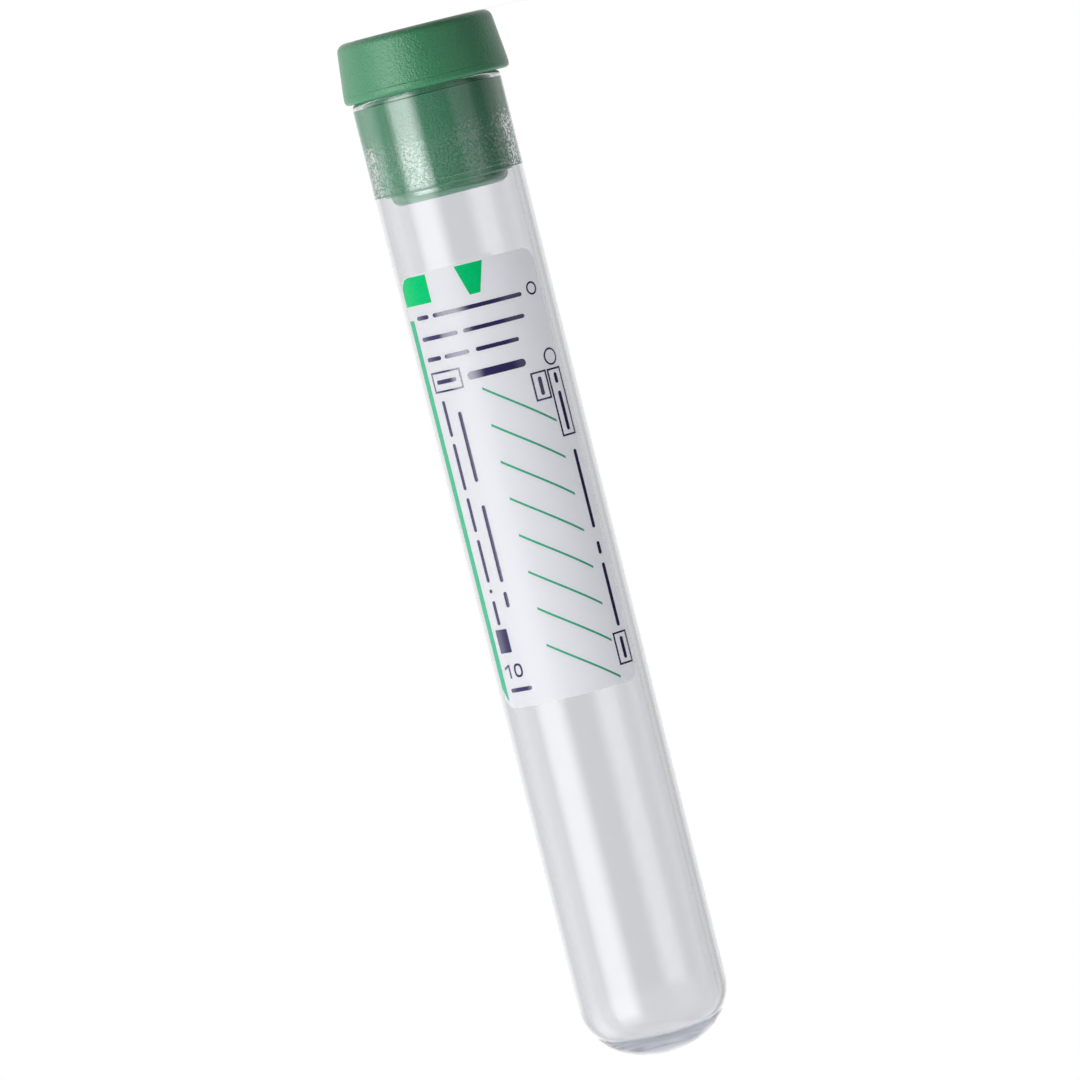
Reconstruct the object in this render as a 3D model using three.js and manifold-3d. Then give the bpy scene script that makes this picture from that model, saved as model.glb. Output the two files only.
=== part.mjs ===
// Blood collection tube: a round-bottomed glass tube, closed by a one-piece rubber stopper, with a
// thin film label round its front. Units are millimetres, +Z is up.
//
// The tube can't stand on its round end, so it stands on the flat top of its stopper. The origin is
// the centre of that flat top, +Z runs towards the round end, and the label faces -Y.

import * as THREE from 'three';
import { mergeVertices } from 'three/addons/utils/BufferGeometryUtils.js';
import Module from 'manifold-3d';

// Glass tube
const tubeLength = 100;
const tubeDiameter = 15.3;
const wallThickness = 0.95;
const bottomThickness = 1.6;
const roundEndHeight = 6.8;
const roundEndFullness = 2.15; // 2 makes the round end half an ellipse, and more makes it squarer
const insideFullness = 3; // of the round end's inner face

// Stopper head, the part outside the tube
const headHeight = 6.15;
const headOverhang = 0.825; // beyond the glass, all round
const headTaper = 0.575; // how far its side draws in towards the flat top
const headLand = 0.85; // straight band between the taper and the tube's rim
const headTopRound = 0.9;
const headLandRound = 0.45;
const wellDiameter = 8; // shallow well that guides the needle
const wellDepth = 2.2;
const wellRound = 0.5;

// Stopper plug, the part inside the tube
const plugOffset = 0.25; // moulded this far off the head's centre, towards +X
const fitClearance = 0.05; // radial, plug to bore
const seatClearance = 0.02; // underside of the head to the tube's rim
const sealLength = 9.7; // band that seals on the bore
const leadLength = 0.2; // short cone that leads the band into the tube
const leadDrop = 0.2;
const noseStep = 0.5; // from the end of that cone in to the nose
const noseLength = 1.05;
const noseRound = 0.95;
const recessDiameter = 6.6; // hollow in the nose that thins the rubber where the needle passes
const recessDepth = 8.6;
const recessRound = 1.2;

// Label
const labelFromRim = 17.8;
const labelHeight = 44.5;
const labelWidth = 16.3; // along the curve
const labelThickness = 0.1;
const labelGap = 0.02; // glue line
const labelCornerRadius = 1.7;
const labelTurn = 6; // degrees from -Y towards +X to the label's middle

// Facets
const turnSides = 64;
const roundSteps = 4;
const roundEndSteps = 10;
const labelColumns = 64;

const tubeRadius = tubeDiameter / 2;
const boreRadius = tubeRadius - wallThickness;
const rimZ = headHeight + seatClearance;
const tipZ = rimZ + tubeLength;

const clearGlass = new THREE.MeshStandardMaterial({
  color: 0xdfe2e8,
  roughness: 0.04,
  metalness: 0,
  transparent: true,
  opacity: 0.35,
});
const greenRubber = new THREE.MeshStandardMaterial({ color: 0x3f8055, roughness: 0.6, metalness: 0 });
const greyFilm = new THREE.MeshStandardMaterial({ color: 0xdcdce2, roughness: 0.5, metalness: 0 });

const wasm = await Module();
wasm.setup();

// Points on a rounded outline in the (radius, z) plane, from fromAngle to toAngle in radians. A
// fullness of 2 gives an ellipse, and a greater one a squarer outline.
function arc(centre, reachR, reachZ, fromAngle, toAngle, steps, fullness = 2) {
  const bent = (value) => Math.sign(value) * Math.abs(value) ** (2 / fullness);
  return Array.from({ length: steps + 1 }, (_, step) => {
    const angle = THREE.MathUtils.lerp(fromAngle, toAngle, step / steps);
    const radius = centre.x + reachR * bent(Math.cos(angle));
    return new THREE.Vector2(radius, centre.y + reachZ * bent(Math.sin(angle)));
  });
}

// Points of a profile in the (radius, z) plane, from corners [radius, z] or [radius, z, round]. A
// round corner takes no more than half of a side that ends in another round corner.
function profileOf(corners) {
  const at = corners.map(([radius, z]) => new THREE.Vector2(radius, z));
  return corners.flatMap(([, , round], i) => {
    if (!round) return [at[i]];
    const back = at[i - 1].clone().sub(at[i]);
    const on = at[i + 1].clone().sub(at[i]);
    const roomBack = back.length() / (corners[i - 1][2] ? 2 : 1);
    const roomOn = on.length() / (corners[i + 1][2] ? 2 : 1);
    const halfAngle = back.angleTo(on) / 2;
    const reach = Math.min(round / Math.tan(halfAngle), roomBack, roomOn);
    const start = back.clone().setLength(reach).add(at[i]);
    const toCentre = back.clone().setLength(1).add(on.clone().setLength(1));
    const centre = toCentre.setLength(reach / Math.cos(halfAngle)).add(at[i]);
    const turn = Math.sign(on.cross(back)) * (Math.PI - 2 * halfAngle);
    return Array.from({ length: roundSteps + 1 }, (_, step) =>
      start.clone().rotateAround(centre, (turn * step) / roundSteps),
    );
  });
}

// Solid of revolution about Z. The profile starts and ends on the axis, and keeps the material on its
// left, with the radius pointing right and Z up.
function turned(profile) {
  return new THREE.LatheGeometry(profile, turnSides).rotateX(Math.PI / 2);
}

function solidFrom(geometry) {
  const merged = mergeVertices(geometry.clone().deleteAttribute('normal').deleteAttribute('uv'));
  return new wasm.Manifold(
    new wasm.Mesh({
      numProp: 3,
      vertProperties: merged.attributes.position.array,
      triVerts: new Uint32Array(merged.index.array),
    }),
  );
}

function geometryFrom(solid) {
  const { vertProperties, triVerts } = solid.getMesh();
  const geometry = new THREE.BufferGeometry();
  geometry.setAttribute('position', new THREE.BufferAttribute(vertProperties, 3));
  geometry.setIndex(new THREE.BufferAttribute(triVerts, 1));
  return geometry.toNonIndexed();
}

function namedMesh(name, geometry, material) {
  const mesh = new THREE.Mesh(geometry, material);
  mesh.name = name;
  geometry.computeVertexNormals();
  return mesh;
}

// The rim is flame polished to a half-circle across the wall, and both faces of the round end start
// level with each other.
function glassTube() {
  const rimRadius = wallThickness / 2;
  const rimCentre = new THREE.Vector2(boreRadius + rimRadius, rimZ + rimRadius);
  const rim = arc(rimCentre, rimRadius, rimRadius, -Math.PI, 0, 2 * roundSteps);
  const endCentre = new THREE.Vector2(0, tipZ - roundEndHeight);
  const endFace = (radius, height, fromAngle, toAngle, fullness) =>
    arc(endCentre, radius, height, fromAngle, toAngle, roundEndSteps, fullness);
  const insideHeight = roundEndHeight - bottomThickness;
  const inside = endFace(boreRadius, insideHeight, Math.PI / 2, 0, insideFullness);
  const outside = endFace(tubeRadius, roundEndHeight, 0, Math.PI / 2, roundEndFullness);
  const tube = namedMesh('glass_tube', turned([...inside, ...rim, ...outside]), clearGlass);
  tube.position.x = plugOffset;
  return tube;
}

function stopperHead() {
  const landRadius = tubeRadius + headOverhang;
  const wellRadius = wellDiameter / 2;
  return turned(
    profileOf([
      [0, wellDepth],
      [wellRadius, wellDepth, wellRound],
      [wellRadius, 0],
      [landRadius - headTaper, 0, headTopRound],
      [landRadius, headHeight - headLand],
      [landRadius, headHeight, headLandRound],
      [0, headHeight],
    ]),
  );
}

function stopperPlug() {
  const sealRadius = boreRadius - fitClearance;
  const noseRadius = sealRadius - leadDrop - noseStep;
  const recessRadius = recessDiameter / 2;
  const sealZ = headHeight + sealLength;
  const leadZ = sealZ + leadLength;
  const noseZ = leadZ + noseLength;
  const recessZ = noseZ - recessDepth;
  const rootZ = (wellDepth + headHeight) / 2; // inside the head
  const plug = turned(
    profileOf([
      [0, rootZ],
      [sealRadius, rootZ],
      [sealRadius, sealZ],
      [sealRadius - leadDrop, leadZ],
      [noseRadius, leadZ],
      [noseRadius, noseZ, noseRound],
      [recessRadius, noseZ],
      [recessRadius, recessZ, recessRound],
      [0, recessZ],
    ]),
  );
  return plug.translate(plugOffset, 0, 0);
}

// Head and plug are one moulding.
function stopper() {
  const moulding = solidFrom(stopperHead()).add(solidFrom(stopperPlug()));
  return namedMesh('stopper', geometryFrom(moulding), greenRubber);
}

// A flat sheet with round corners, bent round the glass.
function label() {
  const sheet = new THREE.BoxGeometry(labelWidth, labelHeight, labelThickness, labelColumns);
  const innerRadius = tubeRadius + labelGap;
  const position = sheet.attributes.position;
  for (let i = 0; i < position.count; i++) {
    const along = position.getX(i);
    const fromEdge = THREE.MathUtils.clamp(labelWidth / 2 - Math.abs(along), 0, labelCornerRadius);
    const inset = labelCornerRadius - Math.sqrt(fromEdge * (2 * labelCornerRadius - fromEdge));
    const up = Math.sign(position.getY(i)) * (labelHeight / 2 - inset);
    const angle = THREE.MathUtils.degToRad(labelTurn) + along / innerRadius;
    const radius = innerRadius + labelThickness / 2 + position.getZ(i);
    position.setXYZ(i, radius * Math.sin(angle), -radius * Math.cos(angle), up);
  }
  const bent = namedMesh('label', sheet, greyFilm);
  bent.position.set(plugOffset, 0, rimZ + labelFromRim + labelHeight / 2);
  return bent;
}

const bloodTube = new THREE.Group();
bloodTube.add(glassTube(), stopper(), label());

export default bloodTube;
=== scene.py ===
# Looks of a blood collection tube: clear glass, a green rubber stopper and a printed film label. The
# tube stands on its stopper, +Z runs towards the round end, and the label faces -Y. Metres.

import math
import bmesh
import bpy
from mathutils import Matrix, Vector


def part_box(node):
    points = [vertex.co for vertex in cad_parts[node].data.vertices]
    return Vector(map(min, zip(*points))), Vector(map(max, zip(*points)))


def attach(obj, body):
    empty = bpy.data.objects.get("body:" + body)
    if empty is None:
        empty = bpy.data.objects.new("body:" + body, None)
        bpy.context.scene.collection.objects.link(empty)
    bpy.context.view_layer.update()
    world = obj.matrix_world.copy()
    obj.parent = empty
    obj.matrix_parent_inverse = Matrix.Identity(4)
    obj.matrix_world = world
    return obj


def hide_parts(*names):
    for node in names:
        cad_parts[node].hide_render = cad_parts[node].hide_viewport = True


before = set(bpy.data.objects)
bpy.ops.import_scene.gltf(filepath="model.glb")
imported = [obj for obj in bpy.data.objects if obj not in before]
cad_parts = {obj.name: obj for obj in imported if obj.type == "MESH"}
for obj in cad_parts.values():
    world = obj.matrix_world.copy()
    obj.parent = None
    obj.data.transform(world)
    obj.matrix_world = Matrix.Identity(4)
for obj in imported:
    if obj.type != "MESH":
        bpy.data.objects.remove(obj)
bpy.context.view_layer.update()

MM = 0.001

# Glass tube, in millimetres
WALL = 0.95
BOTTOM = 1.6
GLASS_IOR = 1.47
ROUND_END = 6.8
ROUND_END_FULLNESS = 2.15  # 2 is half an ellipse, and more is squarer
INSIDE_FULLNESS = 3  # of the round end's inner face
GLASS_SIDES = 256
ROUND_END_STEPS = 48
LIP_STEPS = 24

# Stopper head, in millimetres
HEAD_TAPER = 0.575
HEAD_LAND = 0.85
HEAD_TOP_ROUND = 0.9
HEAD_LAND_ROUND = 0.45
PARTING_DEPTH = 0.05  # of the mould's fine parting line round the head
PARTING_HALF = 0.07
PARTING_ROUND = 0.04
SEAT_CLEARANCE = 0.02
WELL_RADIUS = 4
WELL_DEPTH = 2.2
WELL_ROUND = 0.5
WELL_EDGE_ROUND = 0.12
RUBBER_SIDES = 192

# Stopper plug, in millimetres
WET_CONTACT = 0.01  # the pressed rubber lies against the glass with no air between them
SEAL_LENGTH = 9.7
CREASE = 0.5  # from the end of the seal back to a fine crease in it
CREASE_DEPTH = 0.009
CREASE_HALF = 0.05
CREASE_ROUND = 0.01
NECK_LENGTH = 0.67  # the plug stays clear of the glass this far from the head
NECK_DEPTH = 0.12
NECK_ROUND = 0.03
LEAD_LENGTH = 0.2
LEAD_DROP = 0.2
LEAD_ROUND = 0.06
NOSE_STEP = 0.5
NOSE_ROOT_ROUND = 0.05
NOSE_ROUND = 0.95
RECESS_RADIUS = 3.3
RECESS_DEPTH = 8.6
RECESS_ROUND = 1.2
RECESS_EDGE_ROUND = 0.2
DRY_BAND = (2.4, 5.4, 9.7)  # where the plug's dry spots start, are full and end, from the rim
DRY_FADE = 0.2  # over which they end
DRY_GAIN = 0.3  # how far the band lifts the noise that makes them
DRY_SHINE = 0.12  # share of a spot that mirrors when it is seen face on
FLAT_END = 0.9  # a face whose normal rises more than this is on the flat end of the nose

# Label, in millimetres
LABEL_THICKNESS = 0.1
LABEL_CORNER = 1.7
LABEL_COLUMN = 0.25
INK_THICKNESS = 0.012
INK_GAP = 0.002
WORD_BAR = 0.42  # width of the bars in the place of words
RULE = 0.26  # width of the slanting rules
RULES = 8
RULE_PITCH = 3.76
RULE_RISE = 4.95

# Camera and floor, in metres and radians
VIEW_DISTANCE = 0.75
VIEW_RISE = math.radians(3.2)
VIEW_ROLL = math.radians(14.08)
VIEW_LENS = 248.95
VIEW_AIM_HEIGHT = 0.052965
VIEW_AIM_ASIDE = -0.000115
FLOOR_RADIUS = 0.6
FLOOR_GAP = 0.00002
FLOOR_WHITE = 0.6  # share of the floor that glows white to the eye, and leaves the rest to its shadow
GLASS_BOUNCES = 32

glass_low, glass_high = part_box("glass_tube")
stopper_low, stopper_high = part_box("stopper")
label_low, label_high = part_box("label")
tube_axis = (glass_low.x + glass_high.x) / 2
tube_radius = (glass_high.y - glass_low.y) / 2
label_radius = -label_low.y
label_left = math.asin((label_high.x - tube_axis) / label_radius)
label_right = math.asin((label_low.x - tube_axis) / label_radius)
label_width = (label_left - label_right) * label_radius / MM
label_height = (label_high.z - label_low.z) / MM


def arc(centre, reach, start, end, steps, fullness=2):
    """Points of an elliptical arc in the (radius, z) plane. A fullness over 2 makes it squarer."""
    points = []
    for step in range(steps + 1):
        angle = math.radians(start + (end - start) * step / steps)
        across = math.copysign(abs(math.cos(angle)) ** (2 / fullness), math.cos(angle))
        along = math.copysign(abs(math.sin(angle)) ** (2 / fullness), math.sin(angle))
        points.append(Vector((centre[0] + reach[0] * across, centre[1] + reach[1] * along)))
    return points


def rounded(corners, steps=8):
    """Points of a profile through corners (radius, z, fillet radius)."""
    spots = [Vector(corner[:2]) for corner in corners]
    points = []
    for i, spot in enumerate(spots):
        fillet = corners[i][2]
        if not fillet:
            points.append(spot)
            continue
        back = spots[i - 1] - spot
        on = spots[i + 1] - spot
        half = back.angle(on) / 2
        reach = fillet / math.tan(half)
        start = spot + back.normalized() * reach
        centre = spot + (back.normalized() + on.normalized()).normalized() * reach / math.cos(half)
        turn = math.copysign(math.pi - 2 * half, on.cross(back))
        for step in range(steps + 1):
            swing = Matrix.Rotation(turn * step / steps, 2)
            points.append(centre + swing @ (start - centre))
    return points


def supported(points, stride=2.0, margin=0.04):
    """The same profile with more points along its straights, which keep the smooth shading true."""
    full = [points[0]]
    for start, end in zip(points, points[1:]):
        length = (end - start).length
        if length > 6 * margin:
            inner = length - 2 * margin
            count = max(1, math.ceil(inner / stride))
            for step in range(count + 1):
                full.append(start.lerp(end, (margin + inner * step / count) / length))
        full.append(end)
    return full


def mesh_piece(name, shape, sharp=40):
    """An object from a bmesh, shaded smooth except at edges sharper than that many degrees."""
    bmesh.ops.recalc_face_normals(shape, faces=shape.faces)
    mesh = bpy.data.meshes.new(name)
    shape.to_mesh(mesh)
    shape.free()
    mesh.shade_smooth()
    mesh.set_sharp_from_angle(angle=math.radians(sharp))
    piece = bpy.data.objects.new(name, mesh)
    bpy.context.scene.collection.objects.link(piece)
    return piece


def turned(name, rings, sides):
    """A solid of revolution from rings (radius, z, centre's x) in millimetres, from axis to axis."""
    shape = bmesh.new()
    loops = []
    for radius, z, centre in rings:
        count = sides if radius > 1e-6 else 1
        angles = [2 * math.pi * i / sides for i in range(count)]
        loops.append([
            shape.verts.new(Vector((centre + radius * math.cos(a), radius * math.sin(a), z)) * MM)
            for a in angles
        ])
    for low, high in zip(loops, loops[1:]):
        for i in range(sides):
            corners = [low[i % len(low)], low[(i + 1) % len(low)]]
            corners += [high[(i + 1) % len(high)], high[i % len(high)]]
            shape.faces.new(list(dict.fromkeys(corners)))
    return mesh_piece(name, shape)


def glass_tube():
    """The tube, with its flame-polished rim and its thick round end."""
    outer = tube_radius / MM
    bore = outer - WALL
    rim = WALL / 2
    rim_centre = (bore + rim, glass_low.z / MM + rim)
    end_centre = (0, glass_high.z / MM - ROUND_END)
    inside = arc(end_centre, (bore, ROUND_END - BOTTOM), 90, 0, ROUND_END_STEPS, INSIDE_FULLNESS)
    lip = arc(rim_centre, (rim, rim), -180, 0, LIP_STEPS)
    outside = arc(end_centre, (outer, ROUND_END), 0, 90, ROUND_END_STEPS, ROUND_END_FULLNESS)
    profile = supported(inside + lip + outside, 3.0)
    axis = tube_axis / MM
    return turned("tube_glass", [(max(p.x, 0), p.y, axis) for p in profile], GLASS_SIDES)


def head_profile():
    """The head from the middle of its well to its underside."""
    radius = (stopper_high.x - stopper_low.x) / 2 / MM
    top = stopper_low.z / MM
    under = glass_low.z / MM - SEAT_CLEARANCE
    parting = under - HEAD_LAND
    return supported(rounded([
        (0, top + WELL_DEPTH, 0),
        (WELL_RADIUS, top + WELL_DEPTH, WELL_ROUND),
        (WELL_RADIUS, top, WELL_EDGE_ROUND),
        (radius - HEAD_TAPER, top, HEAD_TOP_ROUND),
        (radius - PARTING_HALF * HEAD_TAPER / parting, parting - PARTING_HALF, PARTING_ROUND),
        (radius - PARTING_DEPTH, parting, PARTING_ROUND),
        (radius, parting + PARTING_HALF, PARTING_ROUND),
        (radius, under, HEAD_LAND_ROUND),
        (tube_radius / MM - WALL / 2, under, 0),
    ]))


def plug_profile():
    """The plug from the head's underside to the middle of its recess."""
    seal = tube_radius / MM - WALL + WET_CONTACT
    lead = seal - LEAD_DROP
    nose = lead - NOSE_STEP
    under = glass_low.z / MM - SEAT_CLEARANCE
    seal_end = under + SEAL_LENGTH
    crease = seal_end - CREASE
    lead_end = seal_end + LEAD_LENGTH
    end = stopper_high.z / MM
    return supported(rounded([
        (seal - NECK_DEPTH, under, 0),
        (seal - NECK_DEPTH, under + NECK_LENGTH - NECK_DEPTH, NECK_ROUND),
        (seal, under + NECK_LENGTH, NECK_ROUND),
        (seal, crease - CREASE_HALF, CREASE_ROUND),
        (seal - CREASE_DEPTH, crease, CREASE_ROUND),
        (seal, crease + CREASE_HALF, CREASE_ROUND),
        (seal, seal_end, LEAD_ROUND),
        (lead, lead_end, LEAD_ROUND),
        (nose, lead_end, NOSE_ROOT_ROUND),
        (nose, end, NOSE_ROUND),
        (RECESS_RADIUS, end, RECESS_EDGE_ROUND),
        (RECESS_RADIUS, end - RECESS_DEPTH, RECESS_ROUND),
        (0, end - RECESS_DEPTH, 0),
    ]))


def stopper():
    """Head and plug in one moulding, with the plug a little off the head's centre."""
    rings = [(p.x, p.y, 0) for p in head_profile()]
    rings += [(p.x, p.y, tube_axis / MM) for p in plug_profile()]
    return turned("stopper_rubber", rings, RUBBER_SIDES)


def rubber_look(face):
    """Which look a face of the stopper has: 0 is bare rubber, as on the head, on the nose's flat end
    and in its recess, 1 is the plug's side, against the glass, and 2 is the nose's side, whose lighter
    green is a painted veil of light seen there through the glass."""
    from_axis = math.hypot(face.center.x - tube_axis, face.center.y)
    seal_end = glass_low.z + (SEAL_LENGTH + LEAD_LENGTH / 2) * MM
    in_recess = from_axis < (RECESS_RADIUS + RECESS_EDGE_ROUND) * MM
    if face.center.z < glass_low.z or in_recess or face.normal.z > FLAT_END:
        return 0
    return 2 if face.center.z > seal_end else 1


def bent_sheet(name, faces, radius, thickness):
    """Closed solids from flat faces in the label's plane, bent round the tube. A face is a list of
    points (s, t) in millimetres, s round the tube from the label's left edge and t up it."""
    shape = bmesh.new()
    for points in faces:
        shape.faces.new([shape.verts.new((s, t, 0)) for s, t in points])
    bmesh.ops.remove_doubles(shape, verts=shape.verts, dist=1e-4)
    for column in range(1, math.ceil(label_width / LABEL_COLUMN)):
        everything = shape.verts[:] + shape.edges[:] + shape.faces[:]
        at = (column * LABEL_COLUMN, 0, 0)
        bmesh.ops.bisect_plane(shape, geom=everything, plane_co=at, plane_no=(1, 0, 0), dist=1e-5)
    made = bmesh.ops.extrude_face_region(shape, geom=shape.faces[:], use_keep_orig=True)
    for vert in made["geom"]:
        if isinstance(vert, bmesh.types.BMVert):
            vert.co.z = thickness
    for vert in shape.verts:
        angle = label_left - vert.co.x * MM / label_radius
        reach = radius + vert.co.z * MM
        height = label_low.z + vert.co.y * MM
        vert.co = (tube_axis + reach * math.sin(angle), -reach * math.cos(angle), height)
    return mesh_piece(name, shape)


def outline(s0, t0, s1, t1, corner, steps=6):
    """Points round a rectangle with round corners."""
    corner = min(corner, (s1 - s0) / 2, (t1 - t0) / 2)
    centres = [(s1 - corner, t1 - corner, 0), (s0 + corner, t1 - corner, 90)]
    centres += [(s0 + corner, t0 + corner, 180), (s1 - corner, t0 + corner, 270)]
    points = []
    for s, t, start in centres:
        points += [tuple(p) for p in arc((s, t), (corner, corner), start, start + 90, steps)]
    return list(dict.fromkeys((round(s, 5), round(t, 5)) for s, t in points))


def ring(outer, inner):
    """Faces between two outlines of as many points."""
    count = len(outer)
    return [
        [outer[i], outer[(i + 1) % count], inner[(i + 1) % count], inner[i]]
        for i in range(count)
    ]


def box_frame(s0, t0, s1, t1, line=0.19):
    """A ruled box."""
    outer = [(s0, t0), (s1, t0), (s1, t1), (s0, t1)]
    inner = [(s0 + line, t0 + line), (s1 - line, t0 + line), (s1 - line, t1 - line), (s0 + line, t1 - line)]
    return ring(outer, inner)


def circle(s, t, radius, steps=32):
    return [tuple(p) for p in arc((s, t), (radius, radius), 0, 360 - 360 / steps, steps - 1)]


def oval(s, t, half_s, half_t, steps=40):
    last = 360 - 360 / steps
    return [tuple(p) for p in arc((s, t), (half_s, half_t), 0, last, steps - 1, 2.5)]


def across(t, height, spans):
    """Bars with round ends in a row across the label, one for each word."""
    return [outline(s0, t - height / 2, s1, t + height / 2, height) for s0, s1 in spans]


def along(s, width, spans):
    """Bars with round ends in a line up the label."""
    return [outline(s - width / 2, t0, s + width / 2, t1, width) for t0, t1 in spans]


def bright_green_print():
    """The colour code: a block in the label's corner and a wedge."""
    block = [(4.16, 0.2), (4.16, 3.06), (0.1, 3.06)]
    block += [tuple(p) for p in arc((1.7, 1.8), (1.6, 1.6), 180, 270, 12)]
    wedge = [(7.45, 0.15), (10.34, 0.15), (9.44, 3.22), (8.35, 3.22)]
    return [block, wedge]


def pale_green_print():
    """The stripe down the label's edge and the slanting rules of the writing space."""
    faces = [[(0.0, 4.5), (0.88, 4.5), (0.88, 43.6), (0.72, 43.6), (0.0, 42.4)]]
    for rule in range(RULES):
        start = 12.42 + RULE_PITCH * rule
        end = start + RULE_RISE
        faces.append([(7.26, start), (14.0, end), (14.0, end + RULE), (7.26, start + RULE)])
    return faces


def word_bars():
    """Bars in the place of words: rows across the label and lines up it."""
    bars = across(4.4, WORD_BAR, [(1.57, 3.3), (3.9, 13.6)])
    bars += across(6.55, WORD_BAR, [(1.6, 6.2), (6.8, 13.3)])
    bars += across(8.65, WORD_BAR, [(1.6, 3.6), (4.1, 6.9), (7.6, 12.1)])
    bars += across(11.05, 0.8, [(6.1, 12.2)])
    bars += across(42.7, WORD_BAR, [(1.7, 4.6)])
    bars += along(2.4, WORD_BAR, [(12.9, 16.6), (17.3, 22.1), (22.9, 26.4), (27.2, 31.6)])
    bars += along(2.4, WORD_BAR, [(32.3, 32.7), (33.5, 36.0)])
    bars += along(4.2, WORD_BAR, [(14.3, 21.5), (23.9, 31.8), (32.8, 34.4)])
    bars += along(15.4, WORD_BAR, [(20.7, 28.8), (30.2, 31.5), (32.4, 38.9)])
    return bars


def boxed_bars():
    """Ruled boxes with a bar or two in each."""
    faces = box_frame(1.56, 9.97, 5.44, 12.08)
    faces += across(11.03, WORD_BAR, [(2.2, 4.8)])
    faces += box_frame(12.32, 12.27, 14.19, 15.19)
    faces += along(13.25, WORD_BAR, [(12.8, 14.7)])
    faces += box_frame(14.32, 12.31, 16.2, 19.24)
    faces += along(15.3, WORD_BAR, [(12.8, 13.9), (14.7, 18.7)])
    faces += box_frame(14.3, 39.43, 16.2, 42.74)
    faces += along(15.3, WORD_BAR, [(39.95, 42.2)])
    return faces


def volume():
    """The plain number 10."""
    one = [(1.5, 40.35), (2.15, 40.06), (2.35, 40.06), (2.35, 41.47), (2.12, 41.47), (2.12, 40.32)]
    one.append((1.5, 40.58))
    nought = ring(oval(3.45, 40.765, 0.55, 0.705), oval(3.45, 40.765, 0.33, 0.485))
    return [one] + nought


def navy_print():
    """Bars in the place of words, ruled boxes, a block, rings and the volume."""
    faces = word_bars() + boxed_bars() + volume()
    faces.append(outline(1.54, 36.45, 3.23, 38.86, 0.1))
    faces += ring(circle(15.0, 4.1, 0.68), circle(15.0, 4.1, 0.5))
    faces += ring(circle(15.25, 11.15, 0.88), circle(15.25, 11.15, 0.7))
    return faces


def label_pieces():
    """The film and the print on it."""
    sheet = outline(0, 0, label_width, label_height, LABEL_CORNER, 12)
    film = bent_sheet("label_sheet", [sheet], label_radius - LABEL_THICKNESS * MM, LABEL_THICKNESS)
    ink_radius = label_radius + INK_GAP * MM
    bright = bent_sheet("print_bright_green", bright_green_print(), ink_radius, INK_THICKNESS)
    pale = bent_sheet("print_pale_green", pale_green_print(), ink_radius, INK_THICKNESS)
    navy = bent_sheet("print_navy", navy_print(), ink_radius, INK_THICKNESS)
    return film, bright, pale, navy


def linear(red, green, blue):
    """A linear colour from sRGB parts of 0 to 255."""
    parts = [value / 255 for value in (red, green, blue)]
    return tuple(p / 12.92 if p <= 0.04045 else ((p + 0.055) / 1.055) ** 2.4 for p in parts) + (1,)


class Nodes:
    """A node tree that is emptied and filled again."""

    def __init__(self, tree):
        self.tree = tree
        tree.nodes.clear()

    def add(self, kind, settings=None, inputs=None):
        """A node with its settings, and with its inputs set to a value or linked from a socket."""
        node = self.tree.nodes.new(kind)
        for key, value in (settings or {}).items():
            setattr(node, key, value)
        for key, value in (inputs or {}).items():
            if isinstance(value, bpy.types.NodeSocket):
                self.tree.links.new(value, node.inputs[key])
            else:
                node.inputs[key].default_value = value
        return node

    def math(self, operation, *values):
        node = self.add("ShaderNodeMath", {"operation": operation}, dict(enumerate(values)))
        return node.outputs[0]

    def ramp(self, value, stops, interpolation="LINEAR"):
        """A grey level from a value, by stops (value, level). Levels may be over 1."""
        first, last = stops[0][0], stops[-1][0]
        peak = max(level for _, level in stops)
        share = self.add("ShaderNodeMapRange", {}, {0: value, 1: first, 2: last}).outputs[0]
        node = self.add("ShaderNodeValToRGB", {}, {0: share})
        node.color_ramp.interpolation = interpolation
        elements = node.color_ramp.elements
        while len(elements) < len(stops):
            elements.new(0.5)
        for element, (at, level) in zip(elements, stops):
            element.position = (at - first) / (last - first)
        for element, (at, level) in zip(elements, stops):
            element.color = (level / peak, level / peak, level / peak, 1)
        return self.math("MULTIPLY", node.outputs[0], peak)


def material(name):
    made = bpy.data.materials.new(name)
    made.use_nodes = True
    return made, Nodes(made.node_tree)


def dress(piece, *materials):
    piece.data.materials.clear()
    for made in materials:
        piece.data.materials.append(made)


def glass_material():
    """Clear glass, a little darker where it is thick. Light for what is inside or behind it passes
    straight through."""
    made, nodes = material("clear_glass_look")
    glass = nodes.add("ShaderNodeBsdfPrincipled", {}, {
        "Base Color": (0.827, 0.829, 0.84, 1),
        "Roughness": 0.0,
        "IOR": GLASS_IOR,
        "Transmission Weight": 1.0,
    })
    clear = nodes.add("ShaderNodeBsdfTransparent", {}, {0: (0.98, 0.98, 0.985, 1)})
    path = nodes.add("ShaderNodeLightPath")
    passing = nodes.math("MAXIMUM", path.outputs["Is Shadow Ray"], path.outputs["Is Diffuse Ray"])
    mixed = nodes.add("ShaderNodeMixShader", {}, {0: passing, 1: glass.outputs[0], 2: clear.outputs[0]})
    tint = nodes.add("ShaderNodeVolumeAbsorption", {}, {"Color": (0, 0.04, 0.14, 1), "Density": 55})
    nodes.add("ShaderNodeOutputMaterial", {}, {"Surface": mixed.outputs[0], "Volume": tint.outputs[0]})
    return made


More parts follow.
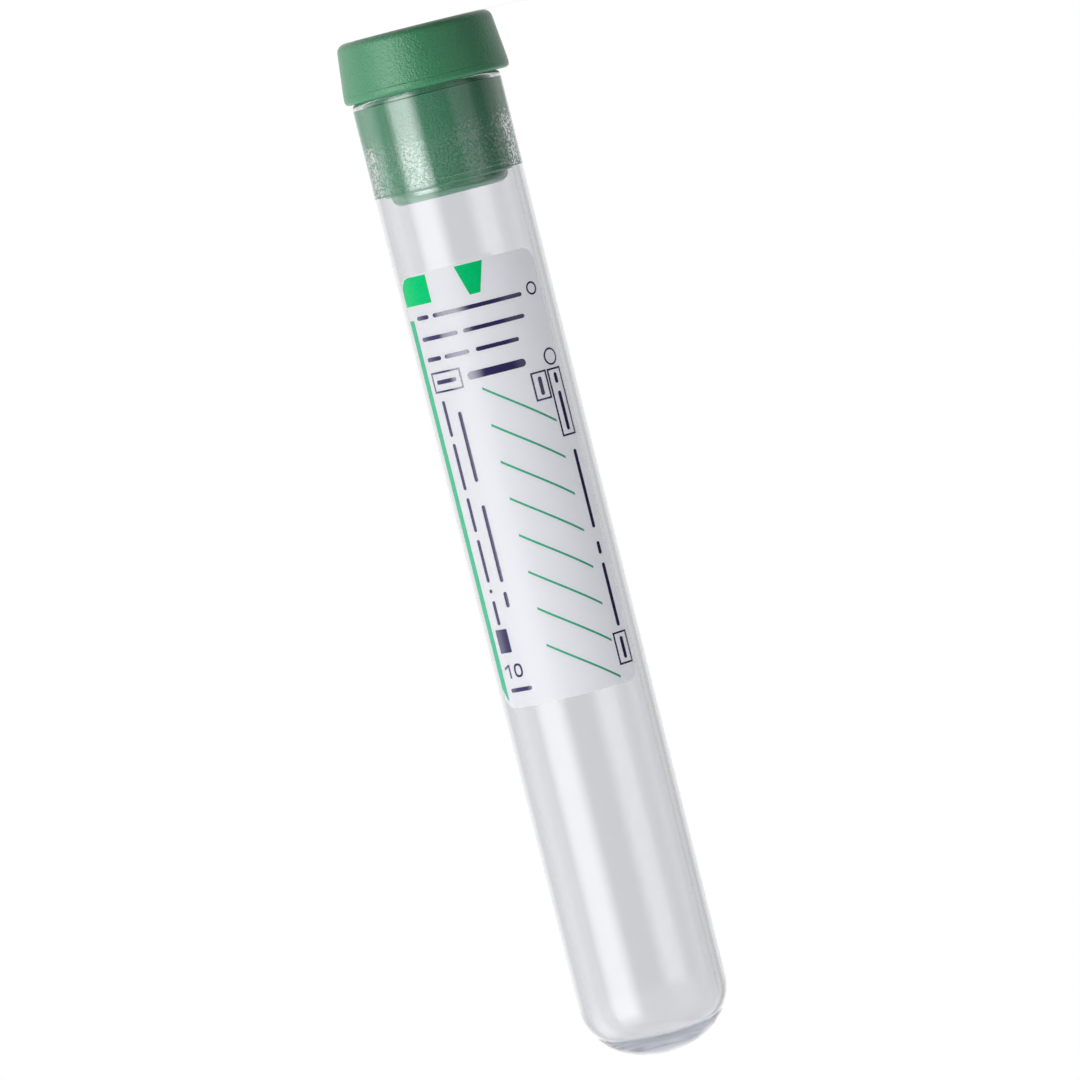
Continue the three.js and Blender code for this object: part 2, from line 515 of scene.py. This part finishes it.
def rubber_material(name, colour, coat=0.0, speckle=False):
    """Green moulded rubber with a fine grain. The coat is the shine of rubber that is seen through the
    glass, and the speckle is where it is dry."""
    made, nodes = material(name)
    where = nodes.add("ShaderNodeTexCoord").outputs["Object"]
    grain = nodes.add("ShaderNodeTexNoise", {}, {"Vector": where, "Scale": 4600, "Detail": 3}).outputs[0]
    bump = nodes.add("ShaderNodeBump", {}, {"Strength": 0.9, "Distance": 0.00009, "Height": grain})
    shade = nodes.ramp(grain, [(0.25, 0.92), (0.75, 1.08)])
    tint = nodes.add("ShaderNodeMix", {"data_type": "RGBA", "blend_type": "MULTIPLY"}, {
        "Factor": 1.0, 6: colour, 7: shade,
    })
    rubber = nodes.add("ShaderNodeBsdfPrincipled", {}, {
        "Base Color": tint.outputs[2],
        "Roughness": 0.35,
        "Specular IOR Level": 0.85,
        "Normal": bump.outputs[0],
        "Coat Weight": coat,
        "Coat IOR": 2.5,
        "Coat Roughness": 0.03,
    })
    surface = speckled(nodes, where, rubber.outputs[0]) if speckle else rubber.outputs[0]
    nodes.add("ShaderNodeOutputMaterial", {}, {0: surface})
    return made


def speckled(nodes, where, rubber):
    """Rubber with squiggly dry spots, which thicken towards the plug's far end. The glass mirrors over
    the film of air in a spot, and fully where it is seen at a slant."""
    height = nodes.add("ShaderNodeSeparateXYZ", {}, {0: where}).outputs["Z"]
    start, full, end = [glass_low.z + z * MM for z in DRY_BAND]
    dry = nodes.ramp(height, [(start, 0), (full, 1), (end - DRY_FADE * MM, 1), (end, 0)])
    squiggle = nodes.add("ShaderNodeTexNoise", {}, {
        "Vector": where, "Scale": 3900, "Detail": 1, "Distortion": 0.6,
    }).outputs[0]
    level = nodes.math("MULTIPLY_ADD", dry, DRY_GAIN, squiggle)
    spots = nodes.ramp(level, [(0.78, 0), (0.82, 1)])
    slant = nodes.add("ShaderNodeFresnel", {}, {"IOR": 1 / GLASS_IOR}).outputs[0]
    shine = nodes.math("MULTIPLY_ADD", slant, 1 - DRY_SHINE, DRY_SHINE)
    share = nodes.math("MULTIPLY", spots, shine)
    mirror = nodes.add("ShaderNodeBsdfAnisotropic", {}, {"Color": (0.95, 0.95, 0.95, 1), "Roughness": 0.15})
    return nodes.add("ShaderNodeMixShader", {}, {0: share, 1: rubber, 2: mirror.outputs[0]}).outputs[0]


def film_material():
    """Thin greyish-white film that lets part of the light through."""
    made, nodes = material("label_film_look")
    where = nodes.add("ShaderNodeTexCoord").outputs["Object"]
    fibre = nodes.add("ShaderNodeTexNoise", {}, {"Vector": where, "Scale": 2500, "Detail": 4})
    bump = nodes.add("ShaderNodeBump", {}, {
        "Strength": 0.15, "Distance": 0.00001, "Height": fibre.outputs[0],
    })
    front = nodes.add("ShaderNodeBsdfPrincipled", {}, {
        "Base Color": (0.87, 0.87, 0.89, 1),
        "Roughness": 0.35,
        "Specular IOR Level": 1.0,
        "Normal": bump.outputs[0],
    })
    through = nodes.add("ShaderNodeBsdfTranslucent", {}, {0: (0.97, 0.97, 0.98, 1)})
    mixed = nodes.add("ShaderNodeMixShader", {}, {0: 0.66, 1: front.outputs[0], 2: through.outputs[0]})
    nodes.add("ShaderNodeOutputMaterial", {}, {0: mixed.outputs[0]})
    return made


def ink_material(name, colour, roughness, ior):
    """Printing ink, very slightly uneven. The greens are dull, and the navy is glossy."""
    made, nodes = material(name)
    where = nodes.add("ShaderNodeTexCoord").outputs["Object"]
    mottle = nodes.add("ShaderNodeTexNoise", {}, {"Vector": where, "Scale": 3000, "Detail": 3})
    shade = nodes.ramp(mottle.outputs[0], [(0.3, 0.92), (0.7, 1.06)])
    tint = nodes.add("ShaderNodeMix", {"data_type": "RGBA", "blend_type": "MULTIPLY"}, {
        "Factor": 1.0, 6: colour, 7: shade,
    })
    ink = nodes.add("ShaderNodeBsdfPrincipled", {}, {
        "Base Color": tint.outputs[2],
        "Roughness": roughness,
        "IOR": ior,
    })
    nodes.add("ShaderNodeOutputMaterial", {}, {0: ink.outputs[0]})
    return made


def seen_directly(nodes):
    """1 for a ray from the camera, or one that a mirror or glass turns, and 0 for light."""
    path = nodes.add("ShaderNodeLightPath")
    sharp = nodes.math("MAXIMUM", path.outputs["Is Glossy Ray"], path.outputs["Is Transmission Ray"])
    return nodes.math("MAXIMUM", path.outputs["Is Camera Ray"], sharp)


def floor():
    """A round pale floor that shows white, with a soft shadow."""
    shape = bmesh.new()
    bmesh.ops.create_circle(shape, cap_ends=True, segments=96, radius=FLOOR_RADIUS)
    piece = mesh_piece("floor", shape)
    piece.location.z = stopper_low.z - FLOOR_GAP
    piece.visible_glossy = False  # the glass and the rubber mirror the studio below the horizon too
    made, nodes = material("floor_look")
    matt = nodes.add("ShaderNodeBsdfDiffuse", {}, {0: (0.45, 0.45, 0.45, 1)})
    white = nodes.add("ShaderNodeEmission", {}, {0: (1, 1, 1, 1), 1: 1.45})
    share = nodes.math("MULTIPLY", seen_directly(nodes), FLOOR_WHITE)
    mixed = nodes.add("ShaderNodeMixShader", {}, {0: share, 1: matt.outputs[0], 2: white.outputs[0]})
    nodes.add("ShaderNodeOutputMaterial", {}, {0: mixed.outputs[0]})
    dress(piece, made)


# Light round the tube, as (degrees from -Y towards +X, level)
SURROUND = [
    (-180, 1.1), (-175, 1.14), (-167, 1.12), (-162, 1.13), (-158, 0.96), (-154, 0.67), (-147, 0.6),
    (-140, 0.8), (-131, 0.9), (-126, 0.72), (-120, 0.5), (-101, 0.3), (-96, 0.05), (-68, 0.05),
    (-26, 0.12), (20, 0.12), (73, 0.4), (92, 0.44), (97, 0.62), (105, 1.3), (128, 1.3), (133, 0.95),
    (140, 0.82), (152, 0.85), (158, 1.06), (168, 1.3), (174, 1.3), (180, 1.1),
]
SOFTBOXES = [
    (-180, 0), (-76, 0), (-66, 0.34), (-38, 0.36), (-27, 0), (18, 0), (24, 1.3), (32, 2.9), (38, 3.8),
    (44, 3.75), (50, 3.5), (57, 3.4), (63, 2.7), (68, 2.5), (73, 0), (180, 0),
]
SOFTBOX_HEIGHT = [(0, 1), (27, 1), (38, 0), (90, 0)]  # their level by degrees from the horizon
CEILING_EDGE = [(-180, 31), (-120, 31), (-100, 58), (100, 58), (120, 31), (180, 31)]
CEILING_SOFTNESS = 8
CEILING_COLOUR = (0.84, 0.89, 0.98, 1)
BACKDROP = [(-90, 1), (-4, 1), (-1.5, 0), (90, 0)]  # white beyond the floor, seen through the glass
BACKDROP_GLOW = 0.11  # so much brighter than white, as the lit floor is
LAMP_DISTANCE = 0.8
LAMP_SIZE = 0.4


def bearings(nodes):
    """Where a ray goes, in degrees round from -Y towards +X and in degrees above the horizon."""
    way = nodes.add("ShaderNodeTexCoord").outputs["Generated"]
    x, y, z = nodes.add("ShaderNodeSeparateXYZ", {}, {0: way}).outputs
    turn = nodes.math("DEGREES", nodes.math("ARCTAN2", x, nodes.math("MULTIPLY", y, -1)))
    return turn, nodes.math("DEGREES", nodes.math("ARCSINE", z))


def studio_light(nodes, turn, rise):
    """White behind the tube, a softbox before it to the left and a dim one to the right, under a
    cool ceiling."""
    tall = nodes.ramp(nodes.math("ABSOLUTE", rise), SOFTBOX_HEIGHT)
    boxes = nodes.math("MULTIPLY", nodes.ramp(turn, SOFTBOXES), tall)
    around = nodes.math("ADD", nodes.ramp(turn, SURROUND), boxes)
    over = nodes.math("SUBTRACT", rise, nodes.ramp(turn, CEILING_EDGE))
    ceiling = nodes.add("ShaderNodeMapRange", {"interpolation_type": "SMOOTHSTEP"}, {
        0: over, 2: CEILING_SOFTNESS,
    }).outputs[0]
    level = nodes.add("ShaderNodeMix", {}, {0: ceiling, 2: around, 3: 1.0}).outputs[0]
    colour = nodes.add("ShaderNodeMix", {"data_type": "RGBA"}, {
        "Factor": ceiling, 6: (1, 1, 1, 1), 7: CEILING_COLOUR,
    }).outputs[2]
    return nodes.add("ShaderNodeBackground", {}, {0: colour, 1: level}).outputs[0]


def studio():
    """The light round the tube, with plain white for the camera."""
    world = bpy.data.worlds.new("studio")
    world.use_nodes = True
    bpy.context.scene.world = world
    nodes = Nodes(world.node_tree)
    turn, rise = bearings(nodes)
    lit = studio_light(nodes, turn, rise)
    path = nodes.add("ShaderNodeLightPath")
    through = nodes.math("MULTIPLY", path.outputs["Is Transmission Ray"], nodes.ramp(rise, BACKDROP))
    level = nodes.math("MULTIPLY_ADD", through, BACKDROP_GLOW, 1)
    white = nodes.add("ShaderNodeBackground", {}, {0: (1, 1, 1, 1), 1: level}).outputs[0]
    plain = nodes.math("MAXIMUM", path.outputs["Is Camera Ray"], through)
    mixed = nodes.add("ShaderNodeMixShader", {}, {0: plain, 1: lit, 2: white})
    nodes.add("ShaderNodeOutputWorld", {}, {0: mixed.outputs[0]})


def soft_lamp(name, azimuth, rise, power):
    """A soft lamp, placed by degrees, which lights but doesn't show in the glass."""
    azimuth = math.radians(azimuth)
    rise = math.radians(rise)
    level = math.cos(rise)
    towards = Vector((math.sin(azimuth) * level, -math.cos(azimuth) * level, math.sin(rise)))
    data = bpy.data.lights.new(name, "AREA")
    data.size = LAMP_SIZE
    data.energy = power
    lamp = bpy.data.objects.new(name, data)
    lamp.location = towards * LAMP_DISTANCE
    lamp.rotation_euler = towards.to_track_quat("Z", "Y").to_euler()
    lamp.visible_camera = False
    lamp.visible_glossy = False
    lamp.visible_transmission = False
    bpy.context.scene.collection.objects.link(lamp)


def clear_paths():
    """Enough bounces for light that runs along inside the thick glass of the round end."""
    cycles = bpy.context.scene.cycles
    cycles.max_bounces = GLASS_BOUNCES
    cycles.glossy_bounces = GLASS_BOUNCES
    cycles.transmission_bounces = GLASS_BOUNCES


def camera():
    """Looks a little upwards at the tube, rolled so that the stopper is at the picture's top left."""
    forward = Vector((0, math.cos(VIEW_RISE), math.sin(VIEW_RISE)))
    aside = Vector((-1, 0, 0))
    upward = Vector((0, -math.sin(VIEW_RISE), math.cos(VIEW_RISE)))
    right = math.cos(VIEW_ROLL) * aside + math.sin(VIEW_ROLL) * upward
    up = math.sin(VIEW_ROLL) * aside - math.cos(VIEW_ROLL) * upward
    aim = Vector((tube_axis + VIEW_AIM_ASIDE, 0, VIEW_AIM_HEIGHT))
    data = bpy.data.cameras.new("camera")
    data.lens = VIEW_LENS
    data.sensor_width = 36
    data.clip_start = 0.01
    data.clip_end = 100
    view = bpy.data.objects.new("camera", data)
    turn = Matrix((right, up, -forward)).transposed().to_4x4()
    view.matrix_world = Matrix.Translation(aim - VIEW_DISTANCE * forward) @ turn
    bpy.context.scene.collection.objects.link(view)
    bpy.context.scene.camera = view


camera()
clear_paths()
studio()
soft_lamp("key_lamp", 50, 35, 2.7)
soft_lamp("fill_lamp", -45, 30, 0.28)
floor()

tube_glass = glass_tube()
dress(tube_glass, glass_material())
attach(tube_glass, "tube")
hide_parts("glass_tube")

stopper_rubber = stopper()
dress(
    stopper_rubber,
    rubber_material("green_rubber_look", (0.045, 0.252, 0.113, 1)),
    # painted light: the plug's green is a little lighter than the head's, to brighten it as seen through
    # the glass
    rubber_material("wet_rubber_painted_light_look", (0.038, 0.265, 0.121, 1), 0.55, True),
    # painted light: the nose's side is a lighter green than the plug, a painted veil of light over it
    rubber_material("nose_rubber_painted_veil_look", (0.1, 0.36, 0.19, 1), 1.0),
)
for face in stopper_rubber.data.polygons:
    face.material_index = rubber_look(face)
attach(stopper_rubber, "stopper")
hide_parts("stopper")

label_sheet, print_bright_green, print_pale_green, print_navy = label_pieces()
dress(label_sheet, film_material())
dress(print_bright_green, ink_material("bright_green_ink_look", linear(0, 188, 109), 0.3, 1.2))
dress(print_pale_green, ink_material("pale_green_ink_look", linear(70, 176, 136), 0.3, 1.2))
dress(print_navy, ink_material("navy_ink_look", linear(37, 29, 86), 0.12, 2.0))
for piece in (label_sheet, print_bright_green, print_pale_green, print_navy):
    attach(piece, "tube")
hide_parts("label")

bpy.context.scene.view_settings.view_transform = "Standard"
